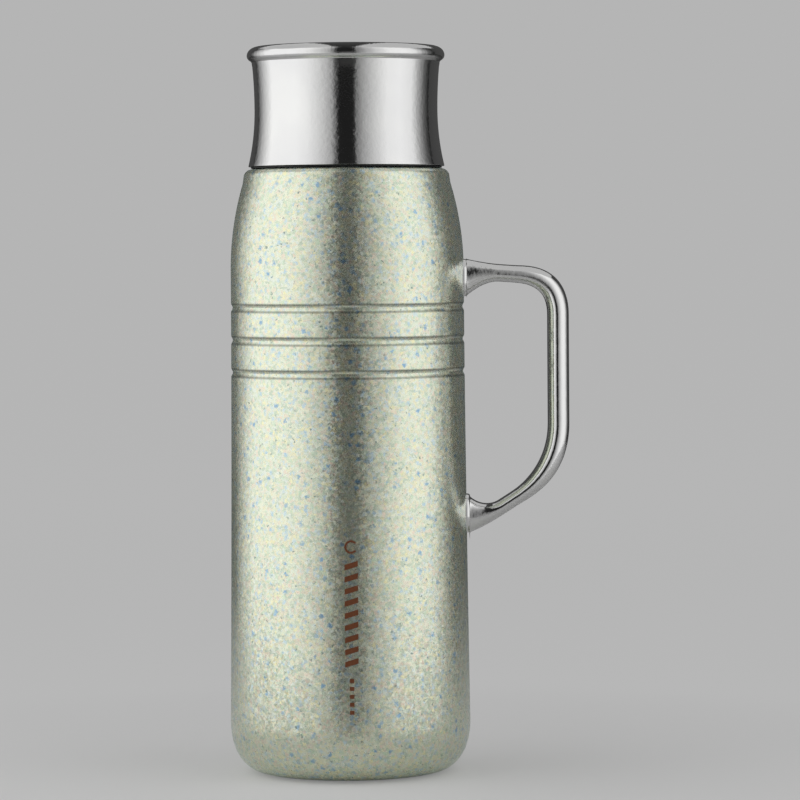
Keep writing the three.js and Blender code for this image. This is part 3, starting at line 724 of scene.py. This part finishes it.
def stopper_cover():
    """The finger ring on the stopper: scallops all round, and a slot that pours away from the handle."""
    low_z, top_z = low("stopper_cover"), high("stopper_cover")
    cover_r, guide_r, plate_z, slot_z = 30.4, BUTTON_R + 0.3, top_z - 1.6, 274.6
    section = [(guide_r, low_z), (guide_r + 1.5, low_z), (guide_r + 1.5, plate_z), (cover_r - 2.6, plate_z)]
    section += [(cover_r - 2.6, low_z), (cover_r, low_z), (cover_r, top_z), (guide_r, top_z)]

    def scalloped(r, z, angle):
        slot = abs(r * math.sin(angle)) < 7 and math.cos(angle) < 0
        if r > cover_r - 3 and slot and z < slot_z:
            z = slot_z + 0.2 * (z - low_z) / 4
        if r > cover_r - 1.2:
            r += 0.5 * math.cos(24 * angle)
        return r, z

    piece = make_piece("stopper_cover_plastic", lathe(rounded(section, 0.6, 4), 288, wave=scalloped))
    stand_for("stopper_cover", piece)


def button():
    top, dish_r, dish_depth = high("pour_button"), 11, 0.8
    section = [(0, top - dish_depth)]
    for r in (2, 4, 6, 8, 9.5):
        section.append((r, top - dish_depth * math.cos(r / dish_r * math.pi / 2) ** 2))
    section += [(BUTTON_R - 0.9, top), (BUTTON_R, top - 0.9), (BUTTON_R, 277.2), (BUTTON_R - 0.8, 277.2)]
    section += [(BUTTON_R - 0.8, 276), (BUTTON_R, 276), (BUTTON_R, 275), (BUTTON_R - 1.8, 275)]
    section += [(BUTTON_R - 1.8, 278.3), (3.6, 278.3), (3.6, 272), (2.3, 272), (2.3, 277), (0, 277)]
    stand_for("pour_button", make_piece("button_plastic", lathe(rounded(section, 0.3), 96)))
    seal = ring(BUTTON_R - 0.6, BUTTON_R + 0.1, low("button_seal"), high("button_seal"))
    stand_for("button_seal", make_piece("button_seal_rubber", lathe(rounded(seal, 0.3, 5), 96)))
    stem_low, stem_top = low("valve_stem"), high("valve_stem")
    stem = [(0, stem_low), (2, stem_low), (2, stem_top), (0, stem_top)]
    stand_for("valve_stem", make_piece("valve_stem_steel", lathe(rounded(stem, 0.3), 32)))
    head = [(0, 232.4), (5, 232.8), (8.4, 234.4), (8.4, 236), (2.3, 236), (2.3, 234), (0, 234)]
    stand_for("valve_head", make_piece("valve_head_plastic", lathe(rounded(head, 0.4), 64)))
    seal = ring(VALVE_HOLE_R + 0.2, 8.3, low("valve_seal"), high("valve_seal"))
    stand_for("valve_seal", make_piece("valve_seal_rubber", lathe(rounded(seal, 0.6, 5), 64)))


# ---- handle ----
def upper_arm_z(x):
    return UPPER_CORNER_Z + (GRIP_X - x) * math.tan(UPPER_SLOPE)


def lower_arm_z(x):
    return LOWER_CORNER_Z - (GRIP_X - x) * math.tan(LOWER_SLOPE)


def handle_centreline():
    """Points (x, z) along the handle's centreline, from the upper foot to the lower one."""
    outward = Vector((math.cos(UPPER_SLOPE), -math.sin(UPPER_SLOPE)))
    down = Vector((0, -1))
    inward = Vector((-math.cos(LOWER_SLOPE), -math.sin(LOWER_SLOPE)))
    start = Vector((BAR_END_X, upper_arm_z(BAR_END_X)))
    last = Vector((BAR_END_X, lower_arm_z(BAR_END_X)))
    path = []
    bends = [(UPPER_CORNER_Z, outward, down, UPPER_BEND), (LOWER_CORNER_Z, down, inward, LOWER_BEND)]
    for corner_z, before, after, reach in bends:
        corner = Vector((GRIP_X, corner_z))
        begin, end = corner - before * reach, corner + after * reach
        path += [start.lerp(begin, t / 24) for t in range(24)]
        path += [begin.lerp(corner, t / 24).lerp(corner.lerp(end, t / 24), t / 24) for t in range(24)]
        start = end
    return path + [start.lerp(last, t / 24) for t in range(25)]


def smoothstep(value, start, end):
    t = min(max((value - start) / (end - start), 0), 1)
    return t * t * (3 - 2 * t)


def handle():
    """The bar, which flares into its feet and is cut off at their plates, and the two plates."""
    sides = 40
    path = handle_centreline()
    loops = []
    for i, centre in enumerate(path):
        along = (path[min(i + 1, len(path) - 1)] - path[max(i - 1, 0)]).normalized()
        is_upper = centre.y > (UPPER_CORNER_Z + LOWER_CORNER_Z) / 2
        foot, arm_z = (UPPER_FOOT, upper_arm_z) if is_upper else (LOWER_FOOT, lower_arm_z)
        nearness = min(max(1 - (centre.x - foot["body_r"]) / FLARE_LENGTH, 0), 1)
        flare = nearness**FLARE_POWER
        bar = foot["arm"] + (GRIP_HALF - foot["arm"]) * smoothstep(centre.x, 68, GRIP_X)
        half = bar + (foot["half"] - bar) * flare
        half_width = BAR_HALF_WIDTH + (FOOT_HALF_WIDTH - BAR_HALF_WIDTH) * flare
        z = centre.y + (foot["z"] - arm_z(foot["body_r"])) * flare
        upright = Vector((0, -1 if is_upper else 1))
        across = Vector((along.y, -along.x)).lerp(upright, nearness).normalized()
        loop = []
        for j in range(sides):
            angle = 2 * math.pi * j / sides
            x, y = centre.x + across.x * half * math.cos(angle), half_width * math.sin(angle)
            in_plate = math.sqrt((foot["body_r"] + FOOT_PLATE - 0.4) ** 2 - y * y)
            loop.append((max(x, in_plate), y, z + across.y * half * math.cos(angle)))
        loops.append(loop)
    stand_for("handle_bar", make_piece("handle_rod", loft(loops)))
    for foot in (UPPER_FOOT, LOWER_FOOT):
        saddle_plate(foot["node"])


def saddle_plate(node):
    """A thin plate with a rounded edge that lies on the body under the handle's foot."""
    middle = (low(node) + high(node)) / 2
    half_height, half_width = (high(node) - low(node)) / 2, high(node, "y")
    # From the middle over the edge and back underneath: (share of the plate's size, share of its thickness).
    profile = [(0.0, 1.0), (0.5, 1.0), (0.85, 1.0), (0.93, 0.93), (0.98, 0.75), (1.0, 0.4)]
    profile += [(1.0, -0.2), (0.5, -0.2), (0.0, -0.2)]
    count, points, faces = 64, [], []
    for share, lift in profile:
        for j in range(count):
            angle = 2 * math.pi * j / count
            y, z = share * half_width * math.sin(angle), middle + share * half_height * math.cos(angle)
            r = body_radius(z) + FOOT_PLATE * lift
            points.append((math.sqrt(r * r - y * y), y, z))
    for i in range(len(profile) - 1):
        for j in range(count):
            k = (j + 1) % count
            faces.append((i * count + j, i * count + k, (i + 1) * count + k, (i + 1) * count + j))
    stand_for(node, make_piece(node + "_steel", (points, faces), sharp_deg=60))


# ---- printed stripe: a ring, slanted bars and small squares, each a thin raised patch on the body ----
def on_body(across, z, lift):
    """The point that lies this far across the front of the body, measured along its surface."""
    r = body_radius(z) + lift
    return r * math.sin(across / r), -r * math.cos(across / r), z


def mark_bar(middle, low_z, high_z, half_width, slant):
    loops = []
    for i in range(7):
        u = half_width * (i / 3 - 1)
        corners = [(low_z, -0.05), (low_z, MARK_LIFT), (high_z, MARK_LIFT), (high_z, -0.05)]
        loops.append([on_body(middle + u, z + slant * u, lift) for z, lift in corners])
    return loft(loops)


def mark_ring(middle, z, radius, half_line):
    """A ring with a gap on its right."""
    inner, outer = radius - half_line, radius + half_line
    loops = []
    for i in range(41):
        angle = math.radians(40 + 280 * i / 40)
        c, s = math.cos(angle), math.sin(angle)
        corners = [(inner, -0.05), (inner, MARK_LIFT), (outer, MARK_LIFT), (outer, -0.05)]
        loops.append([on_body(middle + r * c, z + r * s, lift) for r, lift in corners])
    return loft(loops)


def printed_stripe():
    top = MARK_TOP - MARK_HALF_WIDTH
    shapes = [mark_ring(MARK_X, top, MARK_HALF_WIDTH - 0.4, 0.4)]
    for i in range(9):
        z = top - 7.5 - 4.9 * i
        shapes.append(mark_bar(MARK_X, z - 1.1, z + 1.1, MARK_HALF_WIDTH, 0.3))
    for i in range(5):
        z = MARK_LOW + 1 + 3.2 * i
        shapes.append(mark_bar(MARK_X, z - 0.8, z + 0.8, 0.9, 0))
    piece = make_piece("printed_stripe", *shapes)
    piece.data.materials.append(MATERIALS["print_ink"])
    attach(piece, "flask")


# ---- camera, light and floor ----
def point_camera():
    data = bpy.data.cameras.new("camera")
    data.lens = 175.9
    data.sensor_width = 36
    camera = bpy.data.objects.new("camera", data)
    yaw = Matrix.Rotation(math.radians(-0.015), 4, "Z")
    tilt = Matrix.Rotation(math.radians(90 - 2.18), 4, "X")
    roll = Matrix.Rotation(math.radians(-0.412), 4, "Z")
    camera.matrix_world = Matrix.Translation((0.021, -1.617, 0.2155)) @ yaw @ tilt @ roll
    bpy.context.scene.collection.objects.link(camera)
    bpy.context.scene.camera = camera


def stage_mesh(name, points, faces, material, camera=True, glossy=True, diffuse=True):
    """A part of the studio, in metres."""
    mesh = bpy.data.meshes.new(name)
    mesh.from_pydata(points, [], faces)
    mesh.shade_smooth()
    mesh.materials.append(material)
    obj = bpy.data.objects.new(name, mesh)
    obj.visible_camera = camera
    obj.visible_glossy = glossy
    obj.visible_diffuse = diffuse
    bpy.context.scene.collection.objects.link(obj)


def glowing(nodes, level):
    """Finishes a material that gives off light of the given level."""
    emission = nodes.add("ShaderNodeEmission", {"Color": level, "Strength": LIGHT_STRENGTH})
    out = nodes.add("ShaderNodeOutputMaterial")
    nodes.tree.links.new(emission.outputs["Emission"], out.inputs["Surface"])
    return nodes.material


def strips(loops):
    """Open strips of faces between neighbouring loops."""
    count = len(loops[0])
    points = [p for loop in loops for p in loop]
    faces = []
    for i in range(len(loops) - 1):
        for j in range(count - 1):
            a = i * count + j
            faces.append((a, a + 1, a + count + 1, a + count))
    return points, faces


def panel_light(name, side, levels):
    """A soft light on part of a dome round the object.

    levels are pairs of degrees from the camera's side and brightness.
    """
    n = Nodes(name)
    flat = n.add("ShaderNodeSeparateXYZ", {"Vector": n.place})
    away = n.math("MULTIPLY", flat.outputs["X"], float(side))
    toward = n.math("MULTIPLY", flat.outputs["Y"], -1.0)
    share = n.math("DIVIDE", n.math("ARCTAN2", away, toward), math.pi)
    material = glowing(n, n.grey(share, [(degrees / 180, level) for degrees, level in levels]))
    first, last, steps = levels[0][0], levels[-1][0], 32
    loops = []
    for i in range(steps + 1):
        degrees = first + (last - first) * i / steps
        azimuth = math.radians(degrees) * side
        reach = LIGHT_NEAR + (LIGHT_FAR - LIGHT_NEAR) * degrees / 150
        loops.append([(reach * r * math.sin(azimuth), -reach * r * math.cos(azimuth), z) for r, z in DOME])
    stage_mesh(name, *strips(loops), material, camera=False)


def dim_world():
    """Faint light from all round, a little brighter behind the object."""
    world = bpy.data.worlds.new("world")
    world.use_nodes = True
    tree = world.node_tree
    coords = tree.nodes.new("ShaderNodeTexCoord")
    split = tree.nodes.new("ShaderNodeSeparateXYZ")
    ramp = tree.nodes.new("ShaderNodeValToRGB")
    tree.links.new(coords.outputs["Generated"], split.inputs["Vector"])
    shift = tree.nodes.new("ShaderNodeMath")
    shift.operation = "MULTIPLY_ADD"
    shift.inputs[1].default_value = 0.5
    shift.inputs[2].default_value = 0.5
    tree.links.new(split.outputs["Y"], shift.inputs[0])
    tree.links.new(shift.outputs[0], ramp.inputs["Fac"])
    front, back = ramp.color_ramp.elements
    front.position, front.color = 0.1, (0.015, 0.015, 0.015, 1)
    back.position, back.color = 0.9, (0.07, 0.07, 0.07, 1)
    tree.links.new(ramp.outputs["Color"], tree.nodes["Background"].inputs["Color"])
    bpy.context.scene.world = world


def lights():
    left = [(7, 0.0), (9, 0.03), (17, 0.4), (30, 0.66), (46, 0.9), (62, 1.0), (103, 1.0), (113, 0.72)]
    left += [(129, 0.3), (141, 0.0)]
    right = [(10.5, 0.0), (12.5, 0.18), (17, 0.28), (28, 0.5), (51, 0.9), (69, 0.97), (88, 0.85), (100, 0.4)]
    right += [(112, 0.12), (125, 0.0)]
    panel_light("light_left", -1, left)
    panel_light("light_right", 1, right)
    for side in (-1, 1):
        overhead_light(side)


def overhead_light(side):
    """A flat light above the object. The gap between the two carries the dome's gap on overhead."""
    near_x, far_x, front_y, back_y, height = side * 0.075, side * 0.5, -0.3, 0.6, 0.68
    corners = [(near_x, front_y), (near_x, back_y), (far_x, back_y), (far_x, front_y)]
    n = Nodes("light_over")
    material = glowing(n, n.grey(n.noise(0.004, 1.0), [(0.3, 0.5), (0.7, 0.52)]))
    stage_mesh("light_over", [(x, y, height) for x, y in corners], [(0, 1, 2, 3)], material, camera=False)


def floor_and_backdrop():
    """The camera sees a sweep of paper; light bounces off a plain disc under it."""
    n = Nodes("floor_paper")
    tint = n.grey(n.noise(0.004, 2.0), [(0.3, 0.84), (0.7, 0.86)])
    floor_paper = n.finish(Base_Color=tint, Roughness=0.8)

    # The backdrop takes light and shadow near the object and glows by itself far from it.
    n = Nodes("backdrop_paper")
    far = n.add("ShaderNodeVectorMath", {0: n.place}, operation="LENGTH").outputs["Value"]
    share = n.math("DIVIDE", far, 2500.0)
    grain = n.grey(n.noise(0.004, 2.0), [(0.3, 0.98), (0.7, 1.0)])
    tint = n.mix(1.0, n.grey(share, [(0.04, 0.5), (0.13, 0.02)]), grain, "MULTIPLY")
    glow = n.grey(share, [(0.04, 0.2), (0.13, 0.45), (0.7, 0.46)])
    backdrop_paper = n.finish(Base_Color=tint, Roughness=0.8, Emission_Color=glow, Emission_Strength=1.0)

    bend, wall_top, sides = 1.2, 4, 96
    sweep = [(0.001, 0), (FLOOR_R, 0)] + arc(FLOOR_R, bend, bend, bend, -90, 0, 10)[1:]
    sweep += [(FLOOR_R + bend, wall_top)]
    loops = []
    for j in range(sides + 1):
        angle = 2 * math.pi * j / sides
        loops.append([(r * math.cos(angle), r * math.sin(angle), z) for r, z in sweep])
    stage_mesh("backdrop", *strips(loops), backdrop_paper, glossy=False, diffuse=False)
    disc = [(x, y, -0.0004) for x, y, _ in (loop[1] for loop in loops[:-1])]
    stage_mesh("floor", disc, [tuple(range(sides))], floor_paper, camera=False)


point_camera()
dim_world()
lights()
floor_and_backdrop()
outer_wall()
underside()
liner()
collar()
lid()
stopper()
button()
handle()
printed_stripe()

bpy.context.scene.view_settings.view_transform = "Standard"
